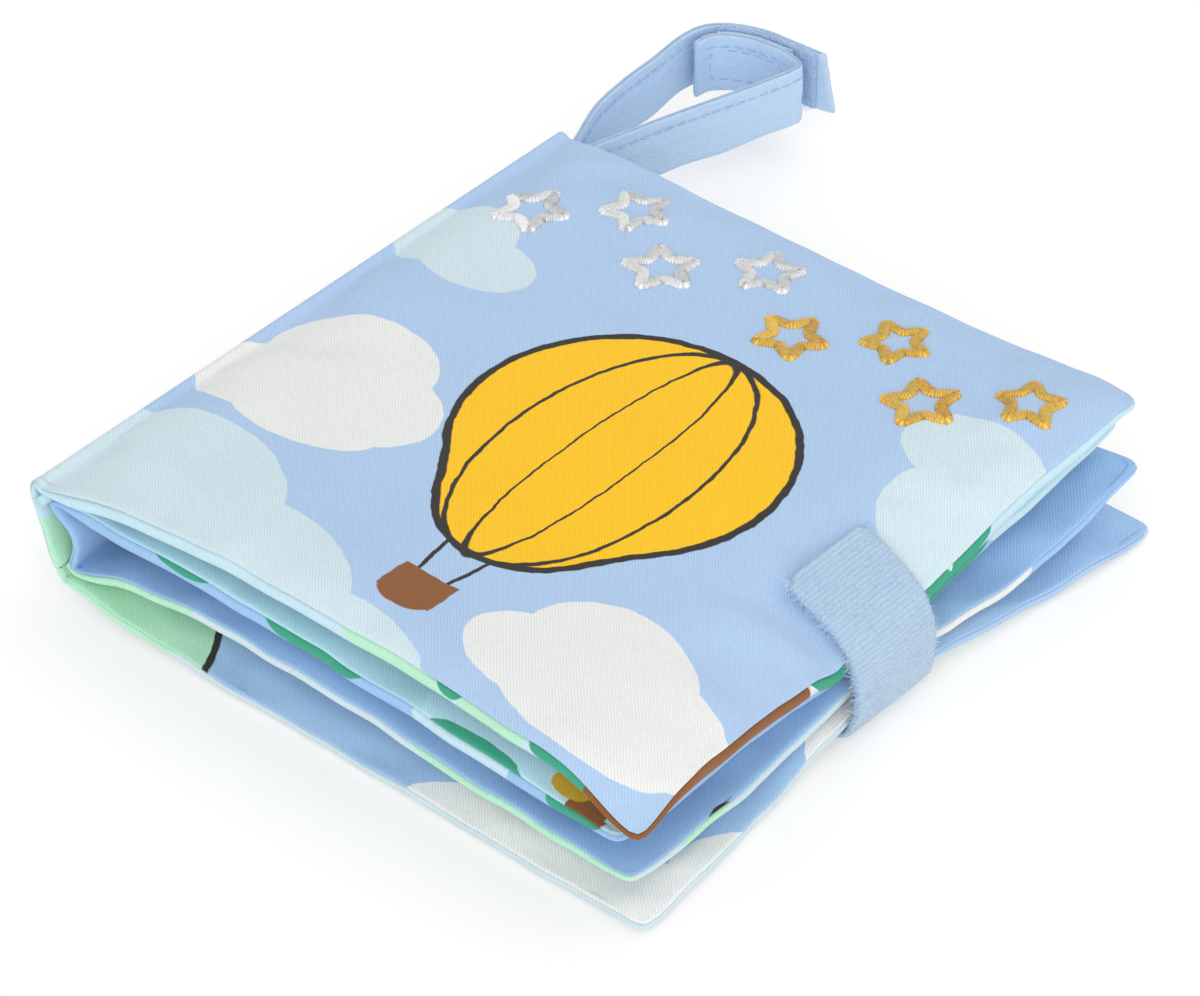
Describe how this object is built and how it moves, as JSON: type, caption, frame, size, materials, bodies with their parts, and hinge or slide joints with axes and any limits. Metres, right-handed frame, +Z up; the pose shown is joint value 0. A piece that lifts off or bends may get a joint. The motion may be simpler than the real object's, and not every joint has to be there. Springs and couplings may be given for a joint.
{
  "type": "crinkle cloth book",
  "caption": "Padded soft cloth book with crinkle film in its leaves, a closing tab over the fore edge and a hanging strap that closes on itself at the head of the spine.",
  "frame": {"origin": "middle of the back cover's flat underside, on the surface that the book lies on", "axes": "+X from the spine to the fore edge, +Y from the tail to the head, where the strap hangs, +Z up through the leaves"},
  "size_m": [0.1683, 0.2266, 0.0358],
  "materials": {
    "sky_twill": "printed polyester twill",
    "meadow_twill": "printed polyester twill",
    "pale_twill": "printed polyester twill",
    "blue_twill": "printed polyester twill",
    "wadding": "needled polyester wadding",
    "crinkle_film": "thin crackling film",
    "loop_tape": "ribbed loop pile tape",
    "hook_tape": "moulded nylon hook tape",
    "silver_thread": "glossy satin stitch",
    "gold_thread": "glossy satin stitch"
  },
  "bodies": {
    "back_cover": {"back_cover_outer_panel": "sky_twill", "back_cover_inner_panel": "meadow_twill", "back_cover_wadding": "wadding", "back_cover_crinkle_film": "crinkle_film"},
    "spine": {"spine_outer_panel": "sky_twill", "spine_lining_panel": "meadow_twill", "page_spine_outer_panel": "pale_twill", "page_spine_inner_panel": "blue_twill"},
    "front_cover": {"front_cover_outer_panel": "sky_twill", "front_cover_inner_panel": "meadow_twill", "front_cover_wadding": "wadding", "front_cover_crinkle_film": "crinkle_film", "cover_hook_patch": "hook_tape", "silver_star_1": "silver_thread", "silver_star_2": "silver_thread", "silver_star_3": "silver_thread", "silver_star_4": "silver_thread", "gold_star_1": "gold_thread", "gold_star_2": "gold_thread", "gold_star_3": "gold_thread", "gold_star_4": "gold_thread"},
    "leaf_1": {"leaf_1_upper_panel": "pale_twill", "leaf_1_lower_panel": "blue_twill", "leaf_1_wadding": "wadding", "leaf_1_crinkle_film": "crinkle_film"},
    "leaf_2": {"leaf_2_upper_panel": "blue_twill", "leaf_2_lower_panel": "meadow_twill", "leaf_2_wadding": "wadding", "leaf_2_crinkle_film": "crinkle_film"},
    "closing_tab": {"closure_tab": "loop_tape"},
    "inner_strap": {"strap_inner": "sky_twill", "strap_hook_patch": "hook_tape"},
    "outer_strap": {"strap_outer": "sky_twill", "strap_loop_patch": "loop_tape"}
  },
  "joints": [
    {"name": "spine_fold", "type": "hinge", "parent": "back_cover", "child": "spine", "pos_m": [-0.0745, 0, 0.007], "axis": [0, -1, 0], "range_deg": [0, 85]},
    {"name": "cover_fold", "type": "hinge", "parent": "spine", "child": "front_cover", "pos_m": [-0.0795, 0, 0.027], "axis": [0, -1, 0], "range_deg": [0, 85]},
    {"name": "leaf_1_turn", "type": "hinge", "parent": "spine", "child": "leaf_1", "pos_m": [-0.0776, 0, 0.0242], "axis": [0, -1, 0], "range_deg": [0, 42.5]},
    {"name": "leaf_2_turn", "type": "hinge", "parent": "spine", "child": "leaf_2", "pos_m": [-0.0745, 0, 0.007], "axis": [0, -1, 0], "range_deg": [-42.5, 0]},
    {"name": "tab_open", "type": "hinge", "parent": "back_cover", "child": "closing_tab", "pos_m": [0.0735, 0, 0.006], "axis": [0, 1, 0], "range_deg": [0, 75], "deforming": ["closure_tab"]},
    {"name": "strap_swing", "type": "hinge", "parent": "spine", "child": "inner_strap", "pos_m": [-0.0777, 0.0808, 0.017], "axis": [0, 0, -1], "range_deg": [-15, 40]},
    {"name": "strap_open", "type": "hinge", "parent": "inner_strap", "child": "outer_strap", "pos_m": [-0.0777, 0.0808, 0.017], "axis": [0, 0, 1], "range_deg": [0, 40]}
  ],
  "couplings": [
    {"joint": "leaf_1_turn", "follows": "cover_fold", "ratio": 0.5},
    {"joint": "leaf_2_turn", "follows": "spine_fold", "ratio": -0.5}
  ]
}
